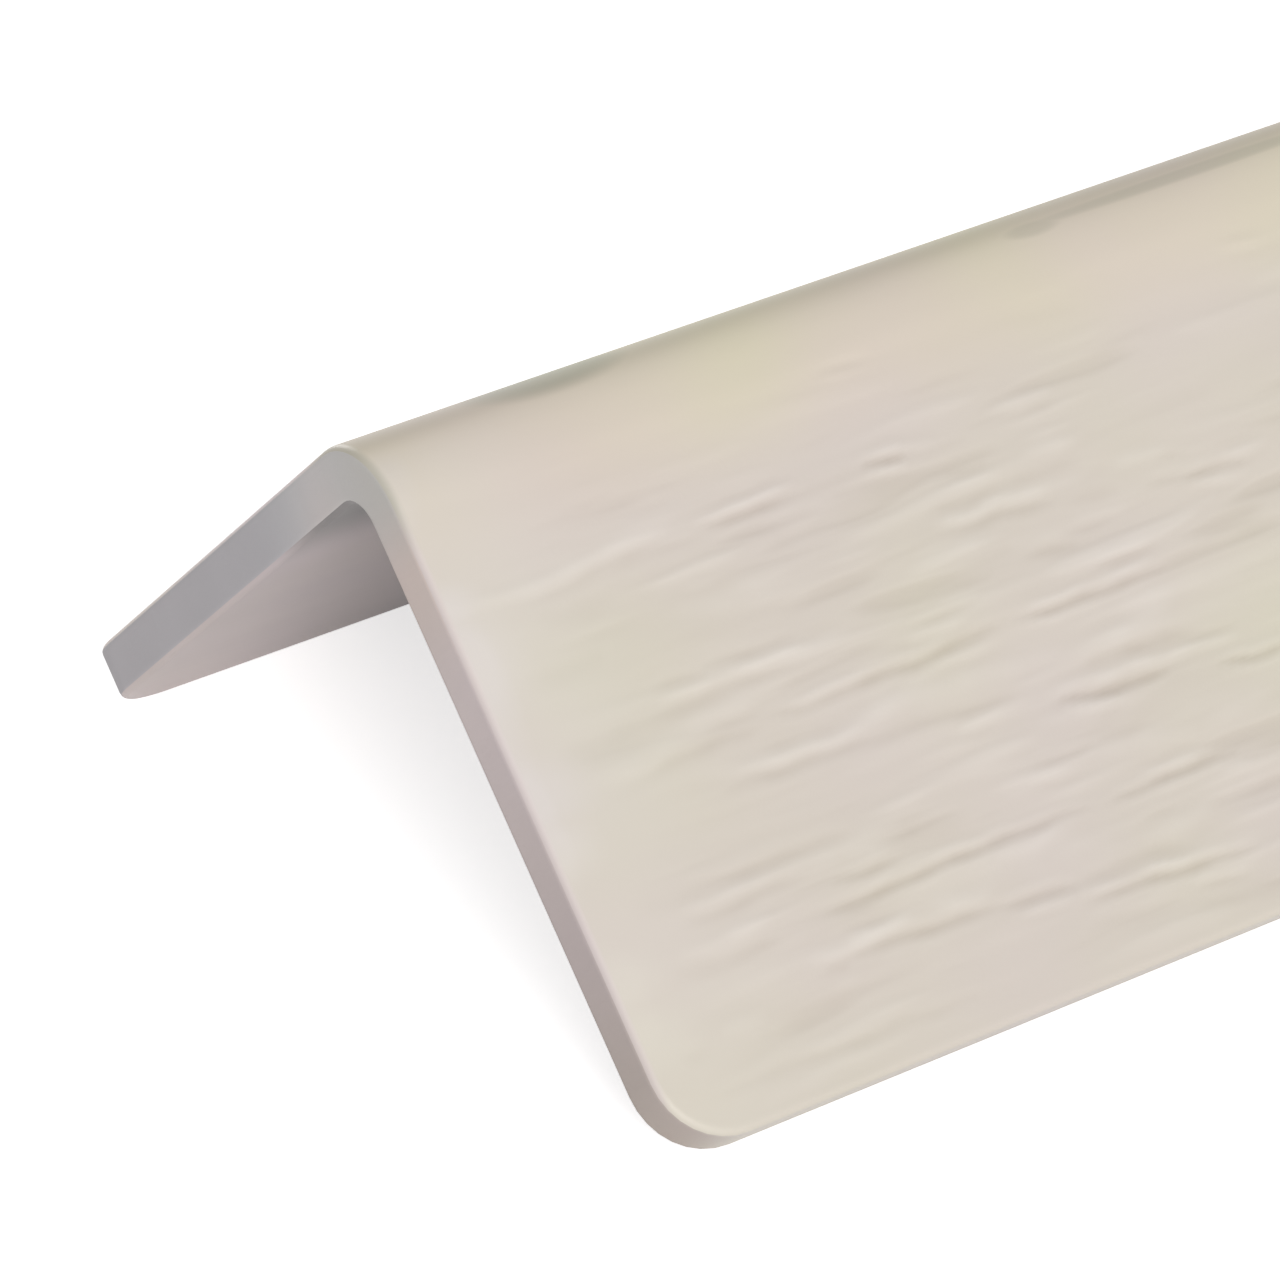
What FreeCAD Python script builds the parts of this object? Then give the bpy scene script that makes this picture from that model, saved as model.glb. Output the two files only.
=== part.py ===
import FreeCAD, Part
import math
import os

Vector = FreeCAD.Vector

# Corner guard moulding: one extruded strip of even wall, bent along its middle to fit over
# the outside corner of a wall. It lies like a tent, nose up, on the inner rims of its legs.
# The frame's origin is under the nose, halfway along, on the surface that it lies on.
# X runs along the strip, the front leg slopes down towards -Y and the back leg towards +Y.

# Driving sizes, in millimetres and degrees
length = 1200.0        # one stock length
leg_width = 30.0       # from the sharp outer corner line to a leg's free edge
wall = 2.3             # the same in both legs and round the bend
corner_angle = 90.0    # between the two legs
nose_radius = 3.6      # outside of the bend
tip_radius = 3.0       # a leg's own corners, where its free edge meets a cut end
rim_radius = 0.3       # softened rim all round the outer skin and the inner skin

# What follows from them
lean = math.radians((180.0 - corner_angle) / 2)     # slope of a leg below the level
bend_setback = nose_radius * math.tan(lean)         # sharp corner line to a leg's flat
hollow_radius = nose_radius - wall                  # inside of the bend, on the same centre
apex_height = ((leg_width - rim_radius) * math.sin(lean)
               + (wall - rim_radius) * math.cos(lean) + rim_radius)
bend_height = apex_height - nose_radius / math.cos(lean)
closeness = 0.001      # two places nearer than this are the same place


def on_leg(down, inwards, side):
    # Point of the section: down the leg from the sharp corner, then inwards through its wall.
    # side is -1 on the front leg and 1 on the back leg.
    y = down * math.cos(lean) - inwards * math.sin(lean)
    z = apex_height - down * math.sin(lean) - inwards * math.cos(lean)
    return Vector(-length / 2, side * y, z)


def above_bend(radius):
    # Highest point of an arc of the bend
    return Vector(-length / 2, 0, bend_height + radius)


def line(start, end):
    return Part.LineSegment(start, end).toShape()


def skin(inwards, radius):
    # One side of the section from tip to tip: flat, arc over the bend, flat
    front_tip, front_flat = on_leg(leg_width, inwards, -1), on_leg(bend_setback, inwards, -1)
    back_tip, back_flat = on_leg(leg_width, inwards, 1), on_leg(bend_setback, inwards, 1)
    arc = Part.Arc(front_flat, above_bend(radius), back_flat).toShape()
    return [line(front_tip, front_flat), arc, line(back_flat, back_tip)]


def section():
    free_edges = [line(on_leg(leg_width, 0, side), on_leg(leg_width, wall, side)) for side in (-1, 1)]
    edges = skin(0, nose_radius) + skin(wall, hollow_radius) + free_edges
    return Part.Face(Part.Wire(Part.__sortEdges__(edges)))


def crosses_wall_at_tip(edge):
    # True for the short edges where a free edge meets a cut end
    middle, tip = edge.CenterOfMass, on_leg(leg_width, wall / 2, 1)
    at_cut_end = abs(abs(middle.x) - length / 2) < closeness
    at_free_edge = abs(abs(middle.y) - tip.y) < closeness and abs(middle.z - tip.z) < closeness
    return at_cut_end and at_free_edge


def is_sharp(solid, edge):
    # True where two faces meet at an angle, and not where one flows into the next
    place = edge.valueAt((edge.FirstParameter + edge.LastParameter) / 2)
    first, second = solid.ancestorsOfType(edge, Part.Face)
    normals = [face.normalAt(*face.Surface.parameter(place)) for face in (first, second)]
    return normals[0].getAngle(normals[1]) > math.radians(10)


def corner_guard():
    strip = section().extrude(Vector(length, 0, 0))
    strip = strip.makeFillet(tip_radius, [edge for edge in strip.Edges if crosses_wall_at_tip(edge)])
    return strip.makeFillet(rim_radius, [edge for edge in strip.Edges if is_sharp(strip, edge)])


os.makedirs("parts", exist_ok=True)
guard = corner_guard()
guard.exportStep("parts/corner_guard.step")

box = guard.BoundBox
print("solids %d, valid %s, volume %.0f mm3" % (len(guard.Solids), guard.isValid(), guard.Volume))
print("x %.2f to %.2f, y %.2f to %.2f, z %.3f to %.3f"
      % (box.XMin, box.XMax, box.YMin, box.YMax, box.ZMin, box.ZMax))
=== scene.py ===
import math
import bpy
import bmesh
import numpy
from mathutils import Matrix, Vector


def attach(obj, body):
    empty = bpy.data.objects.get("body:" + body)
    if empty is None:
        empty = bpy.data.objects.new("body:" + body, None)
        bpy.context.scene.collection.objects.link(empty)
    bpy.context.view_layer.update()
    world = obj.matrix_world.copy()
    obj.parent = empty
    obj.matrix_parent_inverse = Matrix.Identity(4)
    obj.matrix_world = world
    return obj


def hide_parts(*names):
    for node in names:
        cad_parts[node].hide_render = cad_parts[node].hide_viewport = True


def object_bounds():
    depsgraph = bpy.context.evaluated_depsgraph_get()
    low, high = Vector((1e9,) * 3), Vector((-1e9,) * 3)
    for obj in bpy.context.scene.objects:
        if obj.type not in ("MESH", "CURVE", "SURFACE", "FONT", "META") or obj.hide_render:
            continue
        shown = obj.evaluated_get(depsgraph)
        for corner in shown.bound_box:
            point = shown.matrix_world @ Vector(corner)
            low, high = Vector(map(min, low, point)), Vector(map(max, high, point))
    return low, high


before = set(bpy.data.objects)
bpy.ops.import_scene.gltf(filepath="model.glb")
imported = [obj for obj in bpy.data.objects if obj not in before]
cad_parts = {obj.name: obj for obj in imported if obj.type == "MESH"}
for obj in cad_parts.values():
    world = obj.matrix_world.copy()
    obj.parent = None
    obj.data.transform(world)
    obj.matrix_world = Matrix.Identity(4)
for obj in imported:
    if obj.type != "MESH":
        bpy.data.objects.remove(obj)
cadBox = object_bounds()
print("frame loaded: %.0f mm long" % (1000 * (cadBox[1].x - cadBox[0].x)))

# The strip's section, in metres. Both legs lean at half a right angle below the level.
guard = {
    "legWidth": 0.0300,      # sharp outer corner line to a free edge
    "wall": 0.0023,
    "noseRadius": 0.0036,    # outside of the bend
    "tipRadius": 0.0030,     # a leg's corners, free edge to cut end
    "rimRadius": 0.0003,     # softened rims of both skins
}

# How finely the mesh follows it. The end that the photo shows gets the closest rows.
meshing = {
    "frontColumns": 190,     # across the flat of the front leg, which the photo shows
    "backColumns": 100,
    "noseColumns": 16,       # round the bend
    "tipSteps": 8,           # round a leg's corner
    "rimSteps": 4,           # round a rim
    "supportGap": 0.0001,    # from a rim to the loop that keeps the flat side flat
    "fineRow": 0.00046,      # row spacing near the photographed end
    "fineReach": 0.054,      # how far that spacing goes
    "fineBlend": 0.006,      # stretch over which relief gives way to bump
    "farRow": 0.0016,        # first row spacing at the other end
    "rowGrowth": 1.055,
    "widestRow": 0.012,
    "innerColumnStep": 10,   # the plain inner skin keeps one column in so many
    "innerRowStep": 4,
}

# Embossed grain of the outer skin, in metres
grain = {
    "strokeLength": 0.0074,  # spacing of the pattern along the strip
    "strokeWidth": 0.00100,  # and across it
    "strokeHeight": 0.00007,
    "bumpHeight": 0.00010,   # the same strokes where they are bump
    "longStrokeHeight": 0.00009,
    "swellHeight": 0.00016,  # broad soft rolls under the strokes
    "noseClear": 0.0012,     # smooth stretch below the nose
    "noseFade": 0.0082,
    "endClear": 0.0010,      # smooth stretch at a cut end
    "endFade": 0.0085,
    "edgeClear": 0.0003,     # smooth stretch above a free edge
    "edgeFade": 0.0014,
    "seed": 3.0,
}

# The clearest strokes of the front leg at the photographed end: how deep each is, how wide, and
# the places that it passes in the photo's 1280 pixel frame. Minus is pressed in, plus stands up.
longStrokes = (
    (-1.0, 1.0, (826, 913), (850, 904), (885, 889), (940, 864), (1000, 840), (1042, 824), (1062, 815), (1094, 805)),
    (-0.9, 1.0, (1110, 801), (1150, 784), (1180, 772), (1205, 760), (1240, 751)),
    (-0.8, 1.2, (848, 959), (870, 947), (900, 937), (950, 922), (1002, 903)),
    (-0.4, 1.4, (822, 970), (854, 964)),
    (-0.7, 1.1, (998, 908), (1035, 897), (1060, 888), (1079, 884)),
    (-0.4, 1.6, (1088, 881), (1125, 862), (1150, 851), (1188, 844)),
    (-0.9, 1.0, (1096, 899), (1140, 882), (1170, 874), (1195, 866), (1215, 859), (1264, 845)),
    (-0.35, 1.0, (1204, 886), (1225, 881), (1252, 873)),
    (-0.9, 1.2, (772, 715), (800, 708), (830, 696), (860, 682), (890, 671), (915, 664), (940, 652), (960, 640),
     (994, 626)),
    (-0.5, 1.3, (722, 791), (755, 778), (790, 767), (820, 753), (860, 742), (892, 735)),
    (-0.35, 1.7, (878, 738), (920, 722), (960, 713), (1000, 700), (1018, 696)),
    (-1.0, 1.0, (1014, 620), (1045, 611), (1080, 598), (1110, 588), (1150, 572), (1164, 568)),
    (-0.5, 1.0, (1096, 566), (1125, 557), (1158, 543)),
    (-0.6, 1.5, (1080, 663), (1110, 653), (1150, 640), (1198, 626)),
    (-0.95, 1.0, (1056, 701), (1085, 694), (1115, 689), (1140, 679), (1174, 667)),
    (-1.0, 1.0, (1218, 663), (1255, 656), (1294, 642)),
    (-0.5, 1.0, (1014, 773), (1045, 763), (1092, 745)),
    (-0.35, 1.2, (1098, 741), (1120, 732), (1148, 720)),
    (-0.3, 1.0, (1146, 818), (1174, 807)),
    (-0.8, 1.0, (834, 882), (870, 870), (902, 857)),
    (-0.45, 1.3, (684, 889), (700, 884), (740, 872), (770, 860), (795, 850), (850, 831)),
    (-0.4, 1.3, (684, 923), (710, 918), (745, 900), (770, 887), (806, 877)),
    (-0.4, 1.6, (730, 963), (750, 952), (766, 943), (784, 937)),
    (-0.35, 1.3, (718, 1097), (760, 1077), (810, 1056), (850, 1045), (900, 1022), (930, 1013), (982, 993)),
    (-0.5, 1.0, (916, 624), (940, 616), (977, 600)),
    (-0.3, 1.0, (956, 586), (994, 574)),
    (-0.55, 1.3, (960, 530), (982, 522), (1000, 512), (1020, 509), (1056, 501)),
    (-0.35, 1.2, (1028, 557), (1055, 548), (1087, 542)),
    (-0.6, 1.0, (1184, 476), (1205, 470), (1220, 465), (1246, 460)),
    (-0.4, 1.0, (1144, 485), (1175, 478), (1206, 470)),
    (-0.25, 1.6, (1002, 481), (1035, 474), (1078, 461)),
    (-0.25, 1.2, (1030, 581), (1062, 571)),
    (-0.45, 1.4, (650, 775), (668, 764), (690, 753), (720, 740), (740, 735), (760, 727)),
    (-0.4, 1.2, (706, 666), (725, 659), (745, 653), (770, 646), (804, 639)),
    (-0.4, 1.2, (654, 689), (680, 679), (704, 673)),
    (-0.35, 1.3, (650, 717), (675, 711), (700, 698), (725, 690), (745, 680), (792, 667)),
    (-0.25, 1.9, (664, 599), (700, 588), (740, 574), (800, 560), (854, 537)),
    (-0.65, 1.1, (704, 527), (725, 520), (745, 512), (775, 502), (804, 493)),
    (-0.25, 1.4, (796, 495), (820, 485), (864, 468)),
    (-0.35, 1.3, (528, 605), (560, 590), (600, 568), (640, 553), (660, 548), (704, 535)),
    (-0.95, 1.0, (858, 467), (880, 461), (908, 452)),
    (-0.45, 1.0, (818, 371), (840, 364), (868, 356)),
    (-0.3, 1.3, (938, 475), (965, 470), (988, 461)),
    (-0.4, 1.4, (928, 509), (950, 503), (970, 497), (1002, 485)),
    (-0.3, 1.0, (1158, 459), (1192, 452)),
    (-0.2, 1.6, (1022, 410), (1058, 399)),
    (-0.2, 1.8, (998, 319), (1040, 312), (1082, 302)),
    (-0.25, 1.6, (682, 1062), (710, 1048)),
    (0.5, 1.2, (1026, 607), (1050, 598), (1082, 587)),
    (0.55, 1.0, (1094, 580), (1125, 569), (1154, 558)),
    (0.85, 1.2, (1046, 691), (1080, 680), (1110, 672), (1140, 662), (1180, 650), (1205, 642), (1242, 633)),
    (0.45, 1.0, (1060, 710), (1095, 705), (1122, 697)),
    (0.3, 1.3, (1083, 643), (1115, 631), (1147, 619)),
    (0.6, 1.0, (1138, 773), (1170, 762), (1200, 752), (1217, 745)),
    (0.5, 1.1, (1210, 770), (1230, 764), (1250, 759)),
    (0.45, 1.0, (1028, 783), (1055, 773), (1087, 763)),
    (0.5, 1.1, (1076, 894), (1100, 886), (1127, 879)),
    (0.45, 1.0, (1022, 915), (1050, 904), (1077, 896)),
    (0.4, 1.1, (1142, 868), (1186, 859)),
    (0.4, 1.0, (1192, 881), (1220, 873), (1256, 864)),
    (0.6, 1.3, (724, 671), (760, 662), (800, 648), (820, 640), (852, 629)),
    (0.45, 1.3, (736, 771), (765, 762), (795, 753), (830, 742), (862, 727)),
    (0.45, 1.1, (958, 731), (975, 722), (1004, 705)),
    (0.4, 1.1, (936, 662), (960, 656), (985, 645), (1004, 638)),
    (0.5, 1.3, (678, 909), (700, 903), (740, 888), (784, 868)),
    (0.45, 1.8, (846, 943), (875, 930), (909, 916)),
    (0.3, 1.5, (938, 907), (970, 899), (992, 891)),
    (0.3, 1.2, (928, 859), (955, 848), (987, 837)),
    (0.35, 1.0, (940, 603), (977, 590)),
    (0.4, 1.3, (978, 504), (1010, 495), (1050, 486)),
    (0.6, 1.2, (1214, 454), (1240, 449), (1266, 441)),
    (0.45, 1.0, (1190, 485), (1220, 478), (1248, 473)),
    (0.85, 1.0, (692, 520), (720, 513), (745, 503), (765, 493), (792, 484)),
    (0.35, 1.5, (478, 601), (510, 594), (550, 578), (575, 564), (610, 550), (640, 538), (694, 522)),
    (0.4, 1.1, (662, 701), (680, 694), (712, 683)),
    (0.3, 1.3, (626, 502), (664, 489)),
    (0.4, 1.2, (870, 453), (900, 446), (938, 441)),
    (0.4, 1.0, (870, 475), (885, 470), (907, 464)),
    (0.35, 1.1, (820, 379), (852, 372)),
    (0.5, 1.2, (938, 522), (965, 516), (992, 508)),
    (0.35, 1.2, (942, 489), (970, 480), (1002, 471)),
    (0.3, 1.3, (992, 409), (1015, 401), (1047, 389)),
    (0.25, 1.5, (1018, 297), (1045, 288), (1066, 279)),
    (0.5, 1.2, (1222, 246), (1245, 241), (1264, 236)),
    (0.25, 1.4, (1028, 453), (1055, 444), (1074, 439)),
    (0.25, 1.3, (1113, 463), (1140, 455), (1162, 447)),
)
# Broad soft rolls beside them, read the same way
softRolls = (
    (0.40, 2.2, (446, 611), (475, 602), (500, 597), (540, 583), (580, 567), (620, 545), (664, 531)),
    (0.25, 3.0, (672, 611), (700, 606), (740, 599), (780, 594), (826, 586)),
    (0.45, 2.4, (588, 780), (625, 765), (650, 752), (685, 731), (720, 712), (750, 697), (790, 680)),
    (0.45, 2.6, (686, 773), (740, 765), (790, 752), (830, 740), (860, 722), (890, 702), (930, 689), (980, 674),
     (1030, 660), (1078, 648)),
    (0.40, 2.4, (856, 728), (876, 712), (892, 700), (918, 688)),
    (0.35, 1.6, (776, 872), (800, 862), (815, 858), (860, 842)),
    (0.55, 2.2, (722, 938), (743, 928), (766, 916)),
    (0.35, 2.2, (676, 954), (705, 948), (740, 942)),
    (0.60, 2.2, (806, 962), (830, 952), (850, 943), (880, 930), (900, 918), (922, 908)),
    (0.35, 2.0, (722, 1031), (744, 1022), (768, 1013)),
    (0.30, 1.6, (766, 1100), (810, 1078), (850, 1058), (904, 1037)),
    (0.40, 2.8, (1074, 653), (1110, 638), (1140, 622), (1168, 604)),
    (0.40, 3.2, (1122, 612), (1148, 598), (1176, 588)),
    (0.45, 2.0, (904, 643), (930, 632), (964, 617)),
    (0.35, 1.5, (956, 733), (985, 720), (1024, 701)),
    (0.40, 1.6, (1036, 723), (1080, 712), (1120, 702), (1154, 689)),
    (0.35, 2.2, (1082, 757), (1120, 745), (1160, 736), (1204, 727)),
    (0.30, 2.2, (1200, 730), (1235, 706), (1274, 688)),
    (0.35, 2.2, (1200, 805), (1235, 792), (1266, 776)),
    (0.40, 2.0, (1146, 838), (1180, 822), (1214, 804)),
    (0.45, 1.6, (996, 858), (1035, 842), (1070, 826)),
    (0.28, 4.2, (872, 906), (940, 880), (1000, 862), (1060, 849), (1116, 841)),
    (0.40, 2.4, (920, 908), (960, 896), (996, 885)),
    (0.35, 1.5, (1136, 871), (1160, 866), (1194, 856)),
    (0.35, 1.8, (1176, 862), (1215, 846), (1264, 831)),
    (0.30, 1.4, (1086, 917), (1125, 904), (1180, 889)),
    (0.45, 3.4, (842, 853), (870, 839), (902, 824)),
    (0.30, 1.8, (984, 411), (1015, 401), (1054, 387)),
    (0.30, 1.8, (1020, 454), (1050, 444), (1080, 436)),
    (0.30, 1.9, (1106, 466), (1140, 454), (1168, 444)),
    (0.50, 2.0, (934, 526), (965, 515), (1000, 502), (1040, 489), (1086, 474)),
    (0.28, 4.2, (772, 533), (820, 514), (874, 494)),
    (0.30, 2.0, (1076, 562), (1120, 548), (1154, 528)),
    (0.30, 1.7, (1006, 547), (1040, 537), (1080, 527)),
    (0.28, 2.2, (914, 557), (945, 545), (986, 536)),
    (0.28, 1.9, (1070, 524), (1100, 515), (1130, 504)),
    (-0.28, 2.8, (536, 622), (575, 611), (618, 597)),
    (-0.28, 2.8, (524, 683), (560, 671), (606, 653)),
    (-0.28, 2.8, (562, 758), (600, 745), (644, 722)),
    (-0.22, 3.2, (634, 908), (665, 898), (706, 886)),
    (-0.28, 3.8, (760, 1030), (800, 1012), (848, 992)),
    (-0.28, 2.6, (672, 978), (700, 966), (746, 950)),
    (-0.26, 2.8, (890, 850), (920, 836), (968, 819)),
    (-0.30, 3.0, (1200, 908), (1250, 892), (1300, 878)),
    (-0.28, 2.0, (1030, 556), (1050, 548), (1076, 540)),
    (-0.28, 2.0, (1072, 502), (1092, 495), (1120, 486)),
    (-0.26, 3.0, (776, 573), (810, 562), (870, 538)),
)
# Pale spots beside the cut: the photo's pixel, half length and half width in metres
paleSpots = ((452, 608, 0.0018, 0.0012), (476, 665, 0.0028, 0.0030), (547, 796, 0.0026, 0.0020),
             (568, 850, 0.0018, 0.0018), (632, 978, 0.0020, 0.0014), (657, 1042, 0.0024, 0.0018))
strokeForm = {"halfWidth": 0.00026, "lip": 0.35, "wander": 0.00003, "wanderLength": 0.0027,
              "beadLength": 0.0019, "beadDepth": 0.25}

halfRight = math.sqrt(0.5)
halfLength = (cadBox[1].x - cadBox[0].x) / 2
noseHalf = guard["noseRadius"] * math.radians(45)            # half the bend, measured on the outer skin
flatWidth = guard["legWidth"] - guard["noseRadius"]
edgeReach = noseHalf + flatWidth                             # nose line to free edge, on the outer skin
apexHeight = (guard["legWidth"] + guard["wall"] - 2 * guard["rimRadius"]) * halfRight + guard["rimRadius"]
bendHeight = apexHeight - guard["noseRadius"] / halfRight


def directionFrom(azimuth, elevation):
    a, e = math.radians(azimuth), math.radians(elevation)
    return Vector((math.sin(a) * math.cos(e), -math.cos(a) * math.cos(e), math.sin(e)))


# The camera stands where the photo's lines of the cut end, nose and free edge meet up
view = {
    "lens": 211.0,
    "sensor": 36.0,
    "frame": 1280,           # the photo's width and height in pixels
    "azimuth": -35.16,
    "elevation": 31.32,
    "distance": 0.2787,
    "lookAt": (0.00618, -0.00954, 0.01575),   # x is measured from the cut end
}


def makeCamera():
    data = bpy.data.cameras.new("photoCamera")
    data.lens = view["lens"]
    data.sensor_width = view["sensor"]
    camera = bpy.data.objects.new("photoCamera", data)
    back = directionFrom(view["azimuth"], view["elevation"])
    camera.location = Vector(view["lookAt"]) + Vector((-halfLength, 0.0, 0.0)) + back * view["distance"]
    camera.rotation_euler = back.to_track_quat("Z", "Y").to_euler()
    bpy.context.scene.collection.objects.link(camera)
    bpy.context.scene.camera = camera
    return camera


def photoToLeg(camera, across, down):
    # Where a pixel of the photo lies on the front leg: x, and distance down from the sharp corner line
    half = view["frame"] / 2
    pixel = view["sensor"] / view["frame"]
    ray = Vector(((across - half) * pixel, (half - down) * pixel, -view["lens"]))
    ray.rotate(camera.rotation_euler)
    start = camera.location
    far = (apexHeight + start.y - start.z) / (ray.z - ray.y)
    place = start + ray * far
    return place.x, -place.y / halfRight


def placeOnStrip(along, across, depth):
    # across is measured on the outer skin from the nose line, depth goes in through the wall
    side = 1 if across > 0 else -1
    if abs(across) <= noseHalf:
        turn = across / guard["noseRadius"]
        reach = guard["noseRadius"] - depth
        return Vector((along, reach * math.sin(turn), bendHeight + reach * math.cos(turn)))
    down = guard["noseRadius"] + abs(across) - noseHalf
    return Vector((along, side * (down - depth) * halfRight, apexHeight - (down + depth) * halfRight))


def makeRows():
    # Rows along the strip as (x, turn, end): turn runs from 0 at a cut end to a quarter where
    # the tip's corner meets the free edge, end is -1 or 1 in a corner and 0 between the corners.
    steps = meshing["tipSteps"]
    quarter = math.pi / 2
    corner = guard["tipRadius"]
    inset = corner - guard["rimRadius"]
    turns = [quarter * k / steps for k in range(steps + 1)]
    near = [(-halfLength + corner - inset * math.cos(turn), turn, -1) for turn in turns]
    far = [(halfLength - corner + inset * math.cos(turn), turn, 1) for turn in reversed(turns)]
    left, right = near[-1][0], far[0][0]
    between = []
    x, step = left, meshing["fineRow"]
    while x + step < -halfLength + meshing["fineReach"]:
        x += step
        between.append(x)
    fromFar = []
    y, farStep = right, meshing["farRow"]
    while x + step < y - farStep:
        if step <= farStep:
            step = min(step * meshing["rowGrowth"], meshing["widestRow"])
            x += step
            between.append(x)
        else:
            farStep = min(farStep * meshing["rowGrowth"], meshing["widestRow"])
            y -= farStep
            fromFar.append(y)
    between = [x for x in between if x < y - farStep / 2]
    middle = [(x, quarter, 0) for x in between + fromFar[::-1]]
    return near + middle + far


def makeColumns():
    # Places across the outer skin, front free edge to back free edge
    reach = edgeReach - guard["rimRadius"]
    front, back = [[noseHalf + (reach - noseHalf) * k / count for k in range(1, count + 1)]
                   for count in (meshing["frontColumns"], meshing["backColumns"])]
    bend = [noseHalf * (2 * k / meshing["noseColumns"] - 1) for k in range(meshing["noseColumns"] + 1)]
    return [-across for across in reversed(front)] + bend + back


def makeStripMesh():
    rows, columns = makeRows(), makeColumns()
    lastRow, lastColumn = len(rows) - 1, len(columns) - 1
    rim, corner, wall = guard["rimRadius"], guard["tipRadius"], guard["wall"]
    kept = edgeReach - 2 * corner           # columns nearer the nose than this stay straight

    def edgeAt(row, inset):
        # Outline of the strip at a row: x and distance of the free edge from the nose line
        x, turn, end = rows[row]
        if end == 0:
            return x, edgeReach - inset
        radius = corner - inset
        return (end * (halfLength - corner + radius * math.cos(turn)),
                edgeReach - corner + radius * math.sin(turn))

    def acrossAt(row, column):
        across, reach = columns[column], edgeReach - rim
        if abs(across) <= kept:
            return across
        share = (abs(across) - kept) / (reach - kept)
        return math.copysign(kept + share * (edgeAt(row, rim)[1] - kept), across)

    built = bmesh.new()

    def gridPoint(row, column, depth):
        return built.verts.new(placeOnStrip(rows[row][0], acrossAt(row, column), depth))

    def ringPoint(row, column, inset, depth):
        # The outline again, drawn in by inset, at a depth in the wall
        if row in (0, lastRow):
            x = math.copysign(halfLength - inset, rows[row][0])
            return built.verts.new(placeOnStrip(x, acrossAt(row, column), depth))
        x, reach = edgeAt(row, inset)
        return built.verts.new(placeOnStrip(x, reach if column else -reach, depth))

    def loopAround(rowList, columnList):
        # Outline of a grid as (row, column), once round
        loop = [(rowList[0], column) for column in columnList]
        loop += [(row, columnList[-1]) for row in rowList[1:-1]]
        loop += [(rowList[-1], column) for column in reversed(columnList)]
        return loop + [(row, columnList[0]) for row in reversed(rowList[1:-1])]

    def fillGrid(rowList, columnList, depth):
        grid = {(row, column): gridPoint(row, column, depth) for row in rowList for column in columnList}
        for row, nextRow in zip(rowList, rowList[1:]):
            for column, nextColumn in zip(columnList, columnList[1:]):
                built.faces.new((grid[row, column], grid[row, nextColumn],
                                 grid[nextRow, nextColumn], grid[nextRow, column]))
        loop = loopAround(rowList, columnList)
        return loop, [grid[place] for place in loop]

    def addRing(loop, previous, inset, depth):
        ring = [ringPoint(row, column, inset, depth) for row, column in loop]
        for k in range(len(loop)):
            n = (k + 1) % len(loop)
            built.faces.new((previous[k], previous[n], ring[n], ring[k]))
        return ring

    def roundRim(loop, ring, fromOutside):
        # From a skin's outline over the rim and down to the loop that keeps the side flat
        for k in range(1, meshing["rimSteps"] + 1):
            turn = math.pi / 2 * k / meshing["rimSteps"]
            drop = rim * (1 - math.cos(turn))
            ring = addRing(loop, ring, rim * (1 - math.sin(turn)), drop if fromOutside else wall - drop)
        drop = rim + meshing["supportGap"]
        return addRing(loop, ring, 0.0, drop if fromOutside else wall - drop)

    outerLoop, outerRing = fillGrid(range(lastRow + 1), range(lastColumn + 1), 0.0)
    outerRing = roundRim(outerLoop, outerRing, True)

    tip = meshing["tipSteps"]
    bendStart, bendEnd = meshing["frontColumns"], meshing["frontColumns"] + meshing["noseColumns"]
    innerRows = sorted(set(range(tip + 2)) | set(range(lastRow - tip - 1, lastRow + 1))
                       | set(range(tip, lastRow - tip, meshing["innerRowStep"])))
    innerColumns = sorted({0, 1, lastColumn - 1, lastColumn} | set(range(bendStart, bendEnd + 1, 2))
                          | set(range(0, bendStart, meshing["innerColumnStep"]))
                          | set(range(lastColumn, bendEnd, -meshing["innerColumnStep"])))
    innerLoop, innerRing = fillGrid(innerRows, innerColumns, wall)
    innerRing = roundRim(innerLoop, innerRing, False)

    # The flat side of the wall joins the close outer loop to the wide inner one
    spot = {place: k for k, place in enumerate(outerLoop)}
    for k, place in enumerate(innerLoop):
        n = (k + 1) % len(innerLoop)
        first, last = spot[place], spot[innerLoop[n]] or len(outerLoop)
        run = [outerRing[m % len(outerLoop)] for m in range(first, last + 1)]
        built.faces.new(run + [innerRing[n], innerRing[k]])

    bmesh.ops.recalc_face_normals(built, faces=built.faces)
    mesh = bpy.data.meshes.new("cornerGuard")
    built.to_mesh(mesh)
    built.free()
    mesh.shade_smooth()
    return mesh


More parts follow.
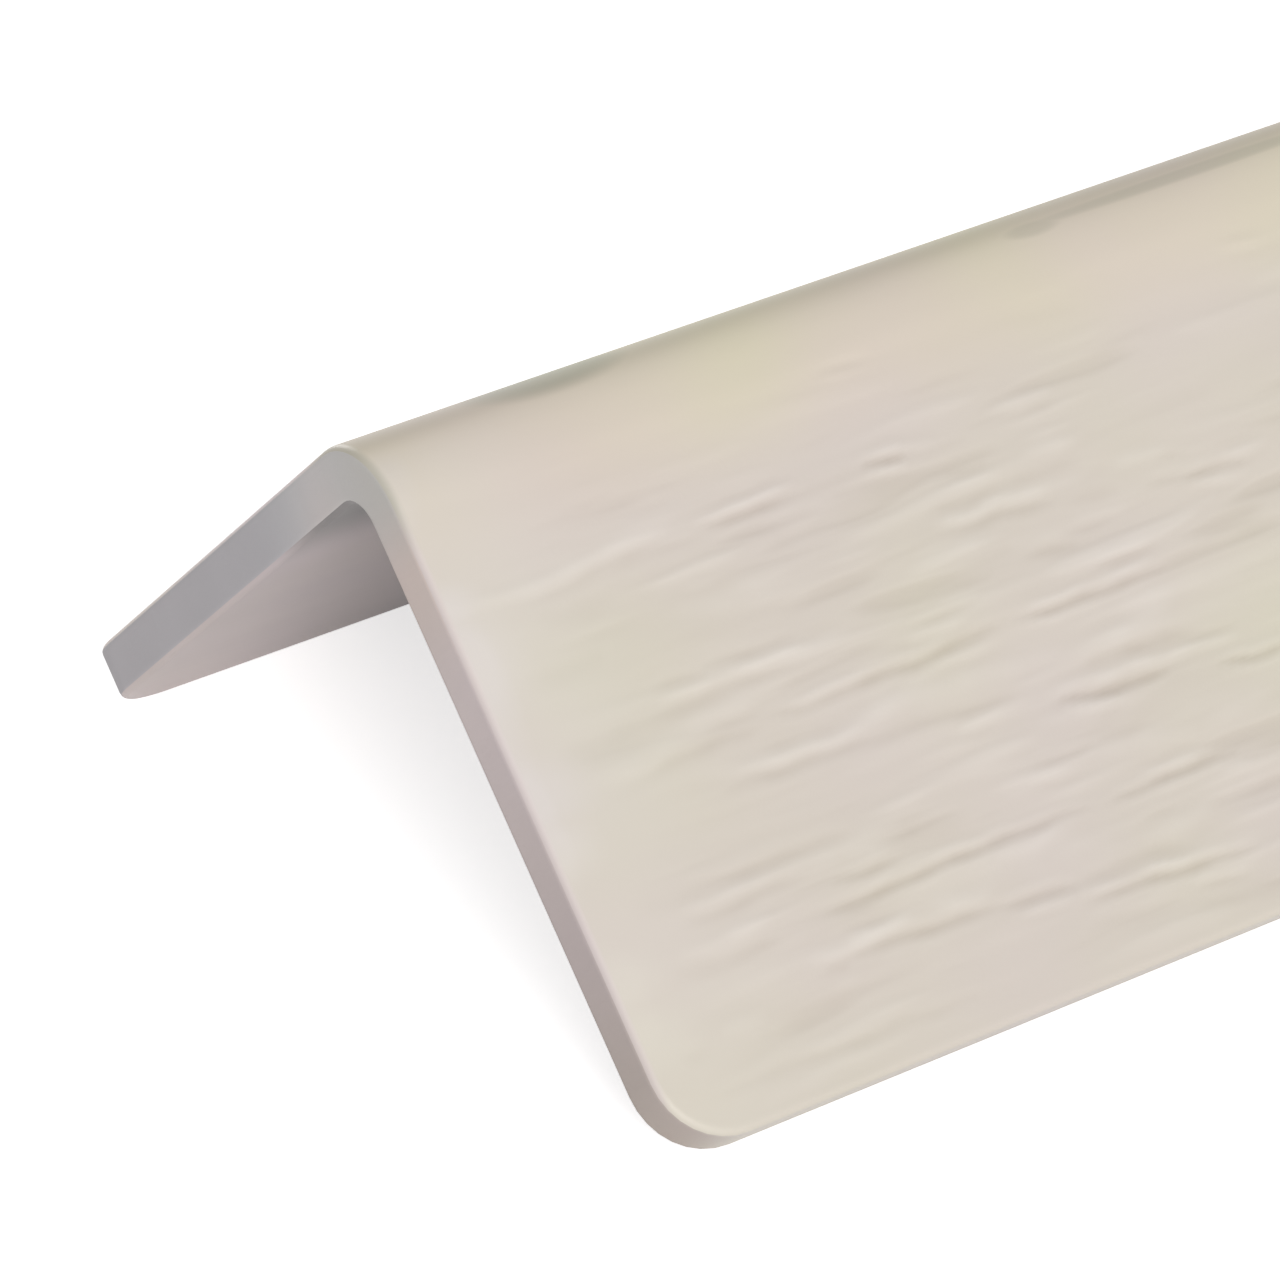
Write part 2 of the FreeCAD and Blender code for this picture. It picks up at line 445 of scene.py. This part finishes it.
def pressLongStrokes(mesh, camera):
    # Keeps the depth of the longest strokes on the points, for the embossing and for its colour
    points = numpy.zeros(3 * len(mesh.vertices))
    mesh.vertices.foreach_get("co", points)
    x, y, z = points.reshape(-1, 3).T
    down = (apexHeight - z - y) * halfRight
    onFront = (abs((apexHeight - z + y) * halfRight) < guard["rimRadius"] / 100) & (y < 0)
    raised = numpy.zeros(len(x))
    for depth, width, *spots in longStrokes + softRolls:
        alongPath, downPath = zip(*[photoToLeg(camera, *spot) for spot in spots])
        run = x - alongPath[0]
        share = run / (alongPath[-1] - alongPath[0])
        wander = strokeForm["wander"] * numpy.sin(run / strokeForm["wanderLength"] * 2 * math.pi + 9 * depth)
        offset = (down - numpy.interp(x, alongPath, downPath) - wander) / (strokeForm["halfWidth"] * width)
        bead = numpy.sin(run / strokeForm["beadLength"] * 2 * math.pi + 5 * spots[0][0])
        taper = numpy.clip(4 * share * (1 - share), 0, 1) ** 0.6 * (1 - strokeForm["beadDepth"] * (1 + bead) / 2)
        narrow = 0.55 + 0.45 * taper
        away = abs(offset / narrow)
        lips = numpy.clip(1 - ((away - 1.7) / 0.8) ** 2, 0, 1) ** 2
        profile = numpy.clip(1 - away ** 2, 0, 1) ** 2 - strokeForm["lip"] / width * lips
        raised += depth * taper * profile
    mesh.attributes.new("longStrokes", "FLOAT", "POINT").data.foreach_set("value", raised * onFront)
    pale = numpy.zeros(len(x))
    for across, downPhoto, reach, spread in paleSpots:
        spotX, spotDown = photoToLeg(camera, across, downPhoto)
        far = ((x - spotX) / reach) ** 2 + ((down - spotDown) / spread) ** 2
        pale = numpy.maximum(pale, numpy.clip(1 - far, 0, 1) ** 2)
    mesh.attributes.new("paleSpots", "FLOAT", "POINT").data.foreach_set("value", pale * onFront)


# Small helpers for both kinds of node tree
def joinValue(tree, socket, value):
    if isinstance(value, bpy.types.NodeSocket):
        tree.links.new(value, socket)
    else:
        socket.default_value = value


def addMath(tree, operation, *values, clamp=False):
    node = tree.nodes.new("ShaderNodeMath")
    node.operation = operation
    node.use_clamp = clamp
    for socket, value in zip(node.inputs, values):
        joinValue(tree, socket, value)
    return node.outputs[0]


def addRange(tree, value, low, high, toLow=0.0, toHigh=1.0, smooth=True):
    node = tree.nodes.new("ShaderNodeMapRange")
    node.interpolation_type = "SMOOTHSTEP" if smooth else "LINEAR"
    for socket, entry in zip(node.inputs, (value, low, high, toLow, toHigh)):
        joinValue(tree, socket, entry)
    return node.outputs[0]


def addVector(tree, x, y, z):
    node = tree.nodes.new("ShaderNodeCombineXYZ")
    for socket, value in zip(node.inputs, (x, y, z)):
        joinValue(tree, socket, value)
    return node.outputs[0]


def addNoise(tree, vector, scale=1.0, detail=2.0, roughness=0.5):
    node = tree.nodes.new("ShaderNodeTexNoise")
    joinValue(tree, node.inputs["Vector"], vector)
    joinValue(tree, node.inputs["Scale"], scale)
    node.inputs["Detail"].default_value = detail
    node.inputs["Roughness"].default_value = roughness
    return node.outputs[0]


def addSplit(tree, vector):
    node = tree.nodes.new("ShaderNodeSeparateXYZ")
    tree.links.new(vector, node.inputs[0])
    return node.outputs


def addDownLeg(tree, position):
    # Distance down a leg from the sharp corner line, and distance in from its outer face
    x, y, z = addSplit(tree, position)
    outwards = addMath(tree, "ABSOLUTE", y)
    drop = addMath(tree, "SUBTRACT", apexHeight, z)
    down = addMath(tree, "MULTIPLY", addMath(tree, "ADD", outwards, drop), halfRight)
    depth = addMath(tree, "MULTIPLY", addMath(tree, "SUBTRACT", drop, outwards), halfRight)
    return x, y, down, depth


def addStrokes(tree, x, y, down):
    # Short strokes of the embossing, from a noise stretched along the strip: pressed in where it is
    # low, raised where it is high, in drifts that a second noise gives
    side = addMath(tree, "MULTIPLY", addMath(tree, "SIGN", y), 7.3)
    place = addMath(tree, "ADD", side, grain["seed"])
    along = addMath(tree, "DIVIDE", x, grain["strokeLength"])
    across = addMath(tree, "DIVIDE", down, grain["strokeWidth"])
    wander = addNoise(tree, addVector(tree, addMath(tree, "MULTIPLY", along, 0.6),
                                      addMath(tree, "MULTIPLY", across, 0.16), place), detail=1.0)
    across = addMath(tree, "ADD", across, addMath(tree, "MULTIPLY", wander, 0.7))
    lines = addNoise(tree, addVector(tree, along, across, place), detail=1.5, roughness=0.4)
    pressed = addRange(tree, lines, 0.45, 0.29)
    raised = addRange(tree, lines, 0.53, 0.70)
    gate = addNoise(tree, addVector(tree, addMath(tree, "MULTIPLY", along, 0.6),
                                    addMath(tree, "MULTIPLY", across, 0.34), addMath(tree, "ADD", place, 31.7)),
                    detail=1.0)
    gate = addRange(tree, gate, 0.38, 0.58, 0.22, 1.0)
    swell = addNoise(tree, addVector(tree, addMath(tree, "MULTIPLY", along, 0.45),
                                     addMath(tree, "MULTIPLY", across, 0.50), addMath(tree, "ADD", place, 11.9)),
                     detail=1.0)
    return addMath(tree, "MULTIPLY", addMath(tree, "SUBTRACT", raised, pressed), gate), swell


def addFineZone(tree, x, y):
    # 1 on the finely meshed end of the front leg, where the strokes are relief and not bump
    zoneEnd = -halfLength + meshing["fineReach"]
    return addMath(tree, "MULTIPLY", addRange(tree, x, zoneEnd, zoneEnd - meshing["fineBlend"]),
                   addMath(tree, "LESS_THAN", y, 0.0))


def addGrainFade(tree, x, down):
    # The embossing dies away towards the nose, the free edges and the cut ends
    fromNose = addRange(tree, down, grain["noseClear"], grain["noseClear"] + grain["noseFade"])
    edgeStart = guard["legWidth"] - grain["edgeClear"]
    fromEdge = addRange(tree, down, edgeStart, edgeStart - grain["edgeFade"])
    endStart = halfLength - grain["endClear"]
    fromEnd = addRange(tree, addMath(tree, "ABSOLUTE", x), endStart, endStart - grain["endFade"])
    return addMath(tree, "MULTIPLY", addMath(tree, "MULTIPLY", fromNose, fromEdge), fromEnd)


def makeEmbossingTree(finishes):
    # Raises the strokes on the outer skin and gives the skins and the sawn sides their finishes
    tree = bpy.data.node_groups.new("raiseEmbossedGrain", "GeometryNodeTree")
    tree.interface.new_socket(name="Geometry", in_out="INPUT", socket_type="NodeSocketGeometry")
    for name in ("Stroke Height", "Swell Height", "Long Stroke Height"):
        tree.interface.new_socket(name=name, in_out="INPUT", socket_type="NodeSocketFloat")
    tree.interface.new_socket(name="Geometry", in_out="OUTPUT", socket_type="NodeSocketGeometry")
    start, end = tree.nodes.new("NodeGroupInput"), tree.nodes.new("NodeGroupOutput")
    x, y, down, depth = addDownLeg(tree, tree.nodes.new("GeometryNodeInputPosition").outputs[0])
    strokes, swell = addStrokes(tree, x, y, down)
    strokes = addMath(tree, "MULTIPLY", strokes, addFineZone(tree, x, y))
    raised = addMath(tree, "ADD", addMath(tree, "MULTIPLY", strokes, start.outputs["Stroke Height"]),
                     addMath(tree, "MULTIPLY", addMath(tree, "SUBTRACT", swell, 0.5), start.outputs["Swell Height"]))
    raised = addMath(tree, "MULTIPLY", raised, addGrainFade(tree, x, down))
    placed = tree.nodes.new("GeometryNodeInputNamedAttribute")
    placed.data_type = "FLOAT"
    placed.inputs["Name"].default_value = "longStrokes"
    raised = addMath(tree, "ADD", raised,
                     addMath(tree, "MULTIPLY", placed.outputs[0], start.outputs["Long Stroke Height"]))
    onSkin = addMath(tree, "LESS_THAN", addMath(tree, "ABSOLUTE", depth), guard["rimRadius"] / 100)
    push = tree.nodes.new("ShaderNodeVectorMath")
    push.operation = "SCALE"
    tree.links.new(addVector(tree, 0.0, addMath(tree, "MULTIPLY", addMath(tree, "SIGN", y), halfRight), halfRight),
                   push.inputs[0])
    tree.links.new(addMath(tree, "MULTIPLY", raised, onSkin), push.inputs["Scale"])
    move = tree.nodes.new("GeometryNodeSetPosition")
    tree.links.new(start.outputs["Geometry"], move.inputs["Geometry"])
    tree.links.new(push.outputs[0], move.inputs["Offset"])
    realize = tree.nodes.new("GeometryNodeRealizeInstances")
    tree.links.new(move.outputs[0], realize.inputs[0])
    geometry = realize.outputs[0]
    finish = tree.nodes.new("GeometryNodeInputMaterialIndex").outputs[0]
    for index, material in enumerate(finishes):
        compare = tree.nodes.new("FunctionNodeCompare")
        compare.data_type = "INT"
        compare.operation = "EQUAL"
        tree.links.new(finish, compare.inputs[2])
        compare.inputs[3].default_value = index
        paint = tree.nodes.new("GeometryNodeSetMaterial")
        paint.inputs["Material"].default_value = material
        tree.links.new(geometry, paint.inputs["Geometry"])
        tree.links.new(compare.outputs[0], paint.inputs["Selection"])
        geometry = paint.outputs[0]
    tree.links.new(geometry, end.inputs[0])
    return tree


# Colours are linear
finishes = {
    "skinTone": (0.694, 0.631, 0.552, 1.0),
    # Stroke crests paler and troughs darker: the grain's own two tones, with painted highlight on the crests and
    # painted shade in the troughs
    "crestGrainAndSheenTone": (0.765, 0.708, 0.632, 1.0),
    "troughGrainAndShadeTone": (0.600, 0.535, 0.455, 1.0),
    "noseTone": (0.712, 0.638, 0.522, 1.0),
    # painted light over the top of the nose
    "noseTopLitTone": (0.758, 0.680, 0.552, 1.0),
    "ridgeShadeTone": (0.560, 0.492, 0.382, 1.0),    # painted shade along the top of the nose
    # painted shade, laid in smudges along the top of the nose
    "ridgeShadeSmudge": (0.415, 0.392, 0.300, 1.0),
    "cutRimTone": (0.752, 0.694, 0.652, 1.0),   # paler skin beside a saw cut
    "lowRimTone": (0.745, 0.692, 0.602, 1.0),
    "noseCoreTone": (0.560, 0.535, 0.505, 1.0),
    "warmCoreTone": (0.664, 0.560, 0.512, 1.0),   # just below the nose
    "coreTone": (0.650, 0.560, 0.555, 1.0),     # the sawn wall is greyer than its skin
    "lowCoreTone": (0.510, 0.435, 0.405, 1.0),  # near a free edge
    # the back leg's sawn end: greyer, and painted darker away from the nose as shade
    "backCoreShadeTone": (0.470, 0.448, 0.465, 1.0),
    "backHighTone": (0.575, 0.562, 0.564, 1.0),
    "freeEdgeTone": (0.740, 0.690, 0.640, 1.0),
    "innerTone": (0.575, 0.490, 0.480, 1.0),
    "hollowShadeTone": (0.205, 0.188, 0.183, 1.0),   # painted shade in the hollow of the bend
    # painted shade on the rim over the nose
    "noseRimShadeTone": (0.470, 0.450, 0.380, 1.0),
    # Marks of painted shade on the nose: from the cut end, half length, y, half width, strength
    "ridgeShadeMarks": ((0.0092, 0.0045, 0.0012, 0.00175, 1.0), (0.0400, 0.0110, -0.0001, 0.0005, 0.45),
                   (0.0315, 0.0016, -0.0003, 0.0006, 0.35)),
    "skinRoughness": 0.52,
    "coreRoughness": 0.72,
    "innerRoughness": 0.46,
}


def startMaterial(name):
    material = bpy.data.materials.new(name)
    material.use_nodes = True
    tree = material.node_tree
    shader = tree.nodes["Principled BSDF"]
    position = tree.nodes.new("ShaderNodeTexCoord").outputs["Object"]
    return material, tree, shader, position


def mixColour(tree, share, first, second):
    node = tree.nodes.new("ShaderNodeMix")
    node.data_type = "RGBA"
    for socket, value in ((node.inputs[0], share), (node.inputs[6], first), (node.inputs[7], second)):
        joinValue(tree, socket, value)
    return node.outputs[2]


def addBump(tree, shader, height, distance, strength=1.0):
    bump = tree.nodes.new("ShaderNodeBump")
    bump.inputs["Distance"].default_value = distance
    joinValue(tree, bump.inputs["Strength"], strength)
    tree.links.new(height, bump.inputs["Height"])
    tree.links.new(bump.outputs[0], shader.inputs["Normal"])
    return bump


def makeMottleGroup():
    # Cloudy tone of extruded plastic, used in all three finishes
    tree = bpy.data.node_groups.new("plasticMottle", "ShaderNodeTree")
    tree.interface.new_socket(name="Position", in_out="INPUT", socket_type="NodeSocketVector")
    tree.interface.new_socket(name="Color", in_out="INPUT", socket_type="NodeSocketColor")
    tree.interface.new_socket(name="Amount", in_out="INPUT", socket_type="NodeSocketFloat")
    tree.interface.new_socket(name="Color", in_out="OUTPUT", socket_type="NodeSocketColor")
    tree.interface.new_socket(name="Height", in_out="OUTPUT", socket_type="NodeSocketFloat")
    start, end = tree.nodes.new("NodeGroupInput"), tree.nodes.new("NodeGroupOutput")
    x, y, z = addSplit(tree, start.outputs["Position"])
    clouds = addNoise(tree, addVector(tree, addMath(tree, "MULTIPLY", x, 0.35), y, z), scale=210.0, detail=3.0)
    warmth = addNoise(tree, start.outputs["Position"], scale=95.0, detail=1.0)
    speckle = addNoise(tree, start.outputs["Position"], scale=5200.0, detail=2.0)
    shift = addMath(tree, "MULTIPLY", addMath(tree, "SUBTRACT", clouds, 0.5), start.outputs["Amount"])
    shade = tree.nodes.new("ShaderNodeHueSaturation")
    tree.links.new(start.outputs["Color"], shade.inputs["Color"])
    tree.links.new(addMath(tree, "ADD", 1.0, shift), shade.inputs["Value"])
    warmth = addMath(tree, "SUBTRACT", warmth, 0.5)
    tree.links.new(addMath(tree, "MULTIPLY_ADD", warmth, 0.10, 0.5), shade.inputs["Hue"])
    tree.links.new(addMath(tree, "MULTIPLY_ADD", warmth, 0.5, 1.0), shade.inputs["Saturation"])
    tree.links.new(shade.outputs[0], end.inputs["Color"])
    tree.links.new(speckle, end.inputs["Height"])
    return tree


def addMottle(tree, group, position, colour, amount):
    node = tree.nodes.new("ShaderNodeGroup")
    node.node_tree = group
    tree.links.new(position, node.inputs["Position"])
    joinValue(tree, node.inputs["Color"], colour)
    node.inputs["Amount"].default_value = amount
    return node.outputs["Color"], node.outputs["Height"]


def makeSkinMaterial(mottle):
    material, tree, shader, position = startMaterial("embossedBeigeSkin")
    x, y, down, depth = addDownLeg(tree, position)
    strokes, swell = addStrokes(tree, x, y, down)
    fade = addGrainFade(tree, x, down)
    strokes = addMath(tree, "MULTIPLY", strokes, fade)
    placed = tree.nodes.new("ShaderNodeAttribute")
    placed.attribute_name = "longStrokes"
    # The strokes tint the skin: grain tone, with painted shade in troughs and painted highlight on crests
    marks = addMath(tree, "ADD", addMath(tree, "MULTIPLY", strokes, 0.5), placed.outputs["Fac"])
    tone = mixColour(tree, addRange(tree, marks, 0.0, -1.0, smooth=False), finishes["skinTone"],
                     finishes["troughGrainAndShadeTone"])
    tone = mixColour(tree, addRange(tree, marks, 0.0, 1.0, smooth=False), tone, finishes["crestGrainAndSheenTone"])
    tone = mixColour(tree, addRange(tree, down, 0.0078, 0.0036), tone, finishes["noseTone"])
    # Painted light: the top of the nose is made paler
    tone = mixColour(tree, addRange(tree, down, 0.0034, 0.0019), tone, finishes["noseTopLitTone"])
    # The line of painted shade along the top of the nose is fainter away from the photographed end
    seenEnd = -halfLength + meshing["fineReach"]
    onTop = addMath(tree, "MULTIPLY", addRange(tree, y, -0.0009, 0.0009), addRange(tree, y, 0.0034, 0.0020))
    onTop = addMath(tree, "MULTIPLY", onTop, addRange(tree, x, seenEnd, seenEnd + 0.15, 1.0, 0.4))
    # Painted shade: the back half of the nose's top is darkened
    tone = mixColour(tree, onTop, tone, finishes["ridgeShadeTone"])
    # Darker smudges of painted shade along the top of the nose: placed where the photo shows them, scattered
    # elsewhere
    shadeSmudges = addNoise(tree, addVector(tree, addMath(tree, "MULTIPLY", x, 24.0), addMath(tree, "MULTIPLY", y, 260.0),
                                      0.0), detail=2.5)
    onRidge = addMath(tree, "MULTIPLY", addRange(tree, y, -0.0010, 0.0006), addRange(tree, y, 0.0050, 0.0020))
    share = addMath(tree, "MULTIPLY_ADD", addRange(tree, x, seenEnd, seenEnd + 0.02), 0.08, 0.20)
    shadeSmudges = addMath(tree, "MULTIPLY", addMath(tree, "MULTIPLY", addRange(tree, shadeSmudges, 0.45, 0.65), onRidge), share)
    for fromEnd, reach, middle, spread, strength in finishes["ridgeShadeMarks"]:
        farAlong = addMath(tree, "DIVIDE", addMath(tree, "SUBTRACT", x, fromEnd - halfLength), reach)
        farAcross = addMath(tree, "DIVIDE", addMath(tree, "SUBTRACT", y, middle), spread)
        far = addMath(tree, "ADD", addMath(tree, "POWER", addMath(tree, "ABSOLUTE", farAlong), 2.0),
                      addMath(tree, "POWER", addMath(tree, "ABSOLUTE", farAcross), 2.0))
        shadeSmudges = addMath(tree, "MAXIMUM", shadeSmudges, addRange(tree, far, 1.0, 0.1, 0.0, strength))
    tone = mixColour(tree, shadeSmudges, tone, finishes["ridgeShadeSmudge"])
    besideCut = addMath(tree, "SUBTRACT", halfLength, addMath(tree, "ABSOLUTE", x))
    pale = addNoise(tree, position, scale=160.0, detail=1.0)
    pale = addMath(tree, "MULTIPLY", addRange(tree, pale, 0.30, 0.60, 0.0, 0.7), addRange(tree, besideCut, 0.0030, 0.0002))
    pale = addMath(tree, "MAXIMUM", pale, addRange(tree, besideCut, 0.0085, 0.0020, 0.0, 0.35))
    offNose = addMath(tree, "MAXIMUM", addRange(tree, y, 0.0004, -0.0016), addRange(tree, down, 0.0040, 0.0080))
    pale = addMath(tree, "MULTIPLY", pale, offNose)
    spots = tree.nodes.new("ShaderNodeAttribute")
    spots.attribute_name = "paleSpots"
    pale = addMath(tree, "MULTIPLY_ADD", spots.outputs["Fac"], 0.5, pale, clamp=True)
    paleTone = mixColour(tree, addRange(tree, down, 0.016, 0.021), finishes["cutRimTone"], finishes["lowRimTone"])
    tone = mixColour(tree, pale, tone, paleTone)
    # The rim itself takes after the sawn wall; on the nose it is painted darker, as painted shade over the rim's
    # highlight
    rimTone = mixColour(tree, addRange(tree, down, 0.0032, 0.0060), finishes["noseRimShadeTone"], finishes["coreTone"])
    tone = mixColour(tree, addRange(tree, besideCut, 0.00040, 0.00005, 0.0, 0.7), tone, rimTone)
    colour, speckle = addMottle(tree, mottle, position, tone, 0.07)
    tree.links.new(colour, shader.inputs["Base Color"])
    shader.inputs["Roughness"].default_value = finishes["skinRoughness"]
    beyond = addMath(tree, "SUBTRACT", 1.0, addFineZone(tree, x, y))
    farStrokes = addMath(tree, "MULTIPLY", addMath(tree, "MULTIPLY", strokes, beyond),
                         grain["bumpHeight"] * 1000)
    fineHeight = addMath(tree, "ADD", farStrokes, addMath(tree, "MULTIPLY", speckle, 0.003))
    addBump(tree, shader, fineHeight, 0.001)
    return material


def makeCoreMaterial(mottle):
    material, tree, shader, position = startMaterial("sawnPlasticEdge")
    x, y, down, depth = addDownLeg(tree, position)
    tone = mixColour(tree, addRange(tree, down, 0.0026, 0.0064), finishes["noseCoreTone"],
                     finishes["warmCoreTone"])
    tone = mixColour(tree, addRange(tree, down, 0.0056, 0.0110), tone, finishes["coreTone"])
    tone = mixColour(tree, addRange(tree, down, 0.010, 0.030), tone, finishes["lowCoreTone"])
    # The back leg's sawn end is greyer, with painted shade darkening it away from the nose
    backTone = mixColour(tree, addRange(tree, down, 0.012, 0.004), finishes["backCoreShadeTone"],
                         finishes["backHighTone"])
    tone = mixColour(tree, addRange(tree, y, -0.002, 0.006), tone, backTone)
    fromCut = addMath(tree, "SUBTRACT", halfLength, addMath(tree, "ABSOLUTE", x))
    tone = mixColour(tree, addRange(tree, fromCut, 0.0006, 0.0032), tone, finishes["freeEdgeTone"])
    colour, speckle = addMottle(tree, mottle, position, tone, 0.12)
    marks = addNoise(tree, addVector(tree, addMath(tree, "MULTIPLY", x, 900.0),
                                     addMath(tree, "MULTIPLY", down, 2600.0),
                                     addMath(tree, "MULTIPLY", depth, 500.0)), detail=3.0)
    tree.links.new(colour, shader.inputs["Base Color"])
    shader.inputs["Roughness"].default_value = finishes["coreRoughness"]
    addBump(tree, shader, addMath(tree, "ADD", marks, addMath(tree, "MULTIPLY", speckle, 0.4)), 0.00002)
    return material


def makeInnerMaterial(mottle):
    material, tree, shader, position = startMaterial("plainInnerSkin")
    x, y, down, depth = addDownLeg(tree, position)
    # The inner skin is painted darker towards the hollow of the bend, as shade
    tone = mixColour(tree, addRange(tree, down, 0.0115, 0.0050), finishes["innerTone"], finishes["hollowShadeTone"])
    colour, speckle = addMottle(tree, mottle, position, tone, 0.10)
    lines = addNoise(tree, addVector(tree, addMath(tree, "MULTIPLY", x, 12.0),
                                     addMath(tree, "MULTIPLY", down, 1900.0), addMath(tree, "SIGN", y)), detail=3.0)
    tree.links.new(colour, shader.inputs["Base Color"])
    shader.inputs["Roughness"].default_value = finishes["innerRoughness"]
    addBump(tree, shader, lines, 0.00001)
    return material


def makeStrip(camera):
    mottle = makeMottleGroup()
    materials = [makeSkinMaterial(mottle), makeCoreMaterial(mottle), makeInnerMaterial(mottle)]
    mesh = makeStripMesh()
    pressLongStrokes(mesh, camera)
    for material in materials:
        mesh.materials.append(material)
    for face in mesh.polygons:
        face.material_index = finishOfFace(face.center)
    raw = bpy.data.objects.new("cornerGuardBlank", mesh)
    bpy.context.scene.collection.objects.link(raw)
    tree = makeEmbossingTree(materials)
    embossing = raw.modifiers.new("embossing", "NODES")
    embossing.node_group = tree
    values = {"Stroke Height": grain["strokeHeight"], "Swell Height": grain["swellHeight"],
              "Long Stroke Height": grain["longStrokeHeight"]}
    for item in tree.interface.items_tree:
        if item.in_out == "INPUT" and item.name in values:
            embossing[item.identifier] = values[item.name]
    finished = bpy.data.meshes.new_from_object(raw.evaluated_get(bpy.context.evaluated_depsgraph_get()))
    strip = bpy.data.objects.new("corner_guard_strip", finished)
    bpy.context.scene.collection.objects.link(strip)
    bpy.data.objects.remove(raw)
    triangles = sum(len(face.vertices) - 2 for face in finished.polygons)
    print("strip made: %d faces, %d triangles, %d finishes" % (len(finished.polygons), triangles,
                                                                len(finished.materials)))
    return strip


def finishOfFace(centre):
    # 0 on the embossed outer skin and its rim, 1 on the sawn and free sides, 2 on the inner skin
    outwards, drop = abs(centre.y), apexHeight - centre.z
    down, depth = (outwards + drop) * halfRight, (drop - outwards) * halfRight
    if down < guard["noseRadius"]:
        depth = guard["noseRadius"] - math.hypot(centre.y, centre.z - bendHeight)
    if depth < guard["rimRadius"] * 0.5:
        return 0
    return 2 if depth > guard["wall"] - guard["rimRadius"] * 0.5 else 1


strip = makeStrip(makeCamera())
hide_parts("corner_guard")
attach(strip, "root")

stage = {
    "floorSize": 24.0,
    "floorTone": 0.85,
    "floorGlow": 0.68,       # only for the camera, so the floor shows white and keeps a light shadow
    "keyStrength": 1.65,
    "keyAngle": 20.0,        # degrees across, so its shadows are soft
    "keyFrom": (-20.0, 27.0),   # azimuth and elevation it comes from
    "fillStrength": 1.10,
    "fillFrom": (170.0, 10.0),
    "worldStrength": 0.45,
}


def makeFloor():
    half = stage["floorSize"] / 2
    mesh = bpy.data.meshes.new("floor")
    mesh.from_pydata([(-half, -half, 0), (half, -half, 0), (half, half, 0), (-half, half, 0)], [], [(0, 1, 2, 3)])
    floor = bpy.data.objects.new("floor", mesh)
    bpy.context.scene.collection.objects.link(floor)
    material = bpy.data.materials.new("paleFloor")
    material.use_nodes = True
    tree = material.node_tree
    tree.nodes.clear()
    diffuse = tree.nodes.new("ShaderNodeBsdfDiffuse")
    glow = tree.nodes.new("ShaderNodeEmission")
    add = tree.nodes.new("ShaderNodeAddShader")
    output = tree.nodes.new("ShaderNodeOutputMaterial")
    seen = seenDirectly(tree)
    diffuse.inputs["Color"].default_value = (stage["floorTone"],) * 3 + (1.0,)
    tree.links.new(addMath(tree, "MULTIPLY", seen, stage["floorGlow"]), glow.inputs["Strength"])
    tree.links.new(diffuse.outputs[0], add.inputs[0])
    tree.links.new(glow.outputs[0], add.inputs[1])
    tree.links.new(add.outputs[0], output.inputs["Surface"])
    mesh.materials.append(material)


def seenDirectly(tree):
    # 1 for what the camera sees, also in a mirror or through glass
    path = tree.nodes.new("ShaderNodeLightPath")
    seen = addMath(tree, "MAXIMUM", path.outputs["Is Camera Ray"], path.outputs["Is Glossy Ray"])
    return addMath(tree, "MAXIMUM", seen, path.outputs["Is Transmission Ray"])


def makeSun(name, strength, angle, comesFrom):
    light = bpy.data.lights.new(name, "SUN")
    light.energy = strength
    light.angle = math.radians(angle)
    sun = bpy.data.objects.new(name, light)
    sun.rotation_euler = directionFrom(*comesFrom).to_track_quat("Z", "Y").to_euler()
    bpy.context.scene.collection.objects.link(sun)


def makeWorld():
    world = bpy.data.worlds.new("whiteRoom")
    bpy.context.scene.world = world
    world.use_nodes = True
    tree = world.node_tree
    background = tree.nodes["Background"]
    background.inputs["Color"].default_value = (1.0, 1.0, 1.0, 1.0)
    seen = seenDirectly(tree)
    tree.links.new(addRange(tree, seen, 0.0, 1.0, stage["worldStrength"], 1.0, smooth=False),
                   background.inputs["Strength"])



makeFloor()
makeSun("key", stage["keyStrength"], stage["keyAngle"], stage["keyFrom"])
makeSun("fill", stage["fillStrength"], stage["keyAngle"], stage["fillFrom"])
makeWorld()
bpy.context.scene.view_settings.view_transform = "Standard"
print("stage and lights made")
